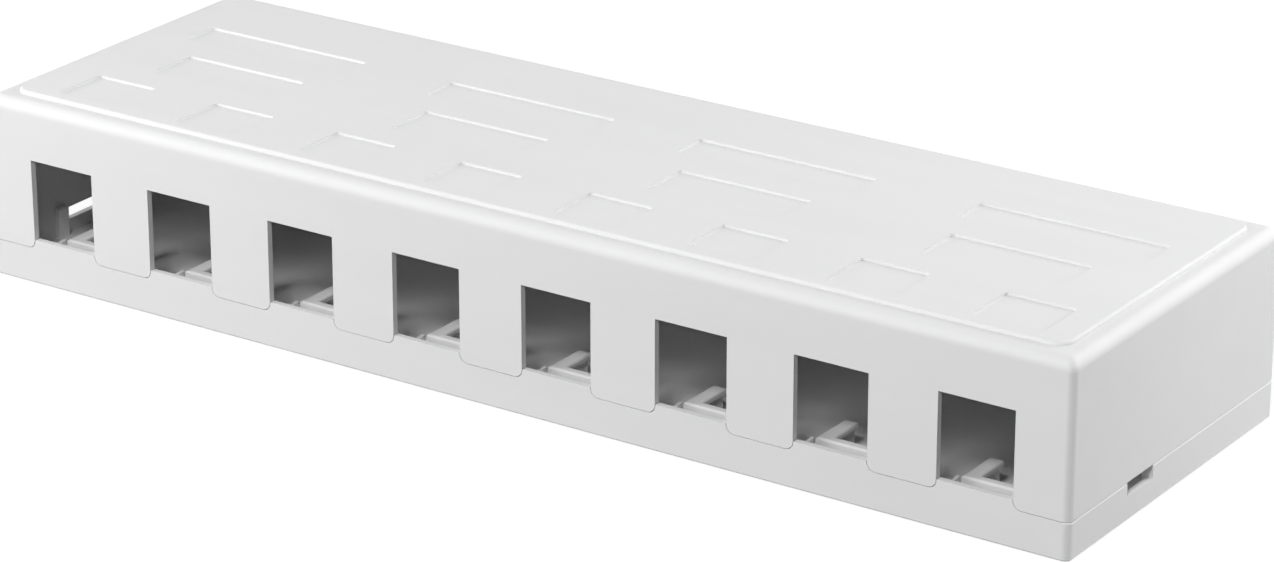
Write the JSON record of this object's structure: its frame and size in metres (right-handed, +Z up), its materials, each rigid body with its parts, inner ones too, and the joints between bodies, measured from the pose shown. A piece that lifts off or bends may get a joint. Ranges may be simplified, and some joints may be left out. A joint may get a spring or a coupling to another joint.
{
  "type": "keystone distribution box",
  "caption": "Low rectangular keystone distribution box: a hood with a comb-like front of square port windows that lifts off a shallow base tray.",
  "frame": {"origin": "centre of the base's underside, which is the bottom centre of the closed box", "axes": "+Z up, +X along the row of ports to the viewer's right, -Y towards the face with the port windows, +Y towards the cable entries"},
  "size_m": [0.236, 0.075, 0.0371],
  "materials": {
    "white_plastic": "fine matte, moulded ABS"
  },
  "bodies": {
    "base": {"base": "white_plastic"},
    "cover": {"cover": "white_plastic"}
  },
  "joints": [
    {"name": "cover_lift", "type": "slide", "parent": "base", "child": "cover", "axis": [0, 0, 1], "range_m": [0, 0.045]}
  ]
}
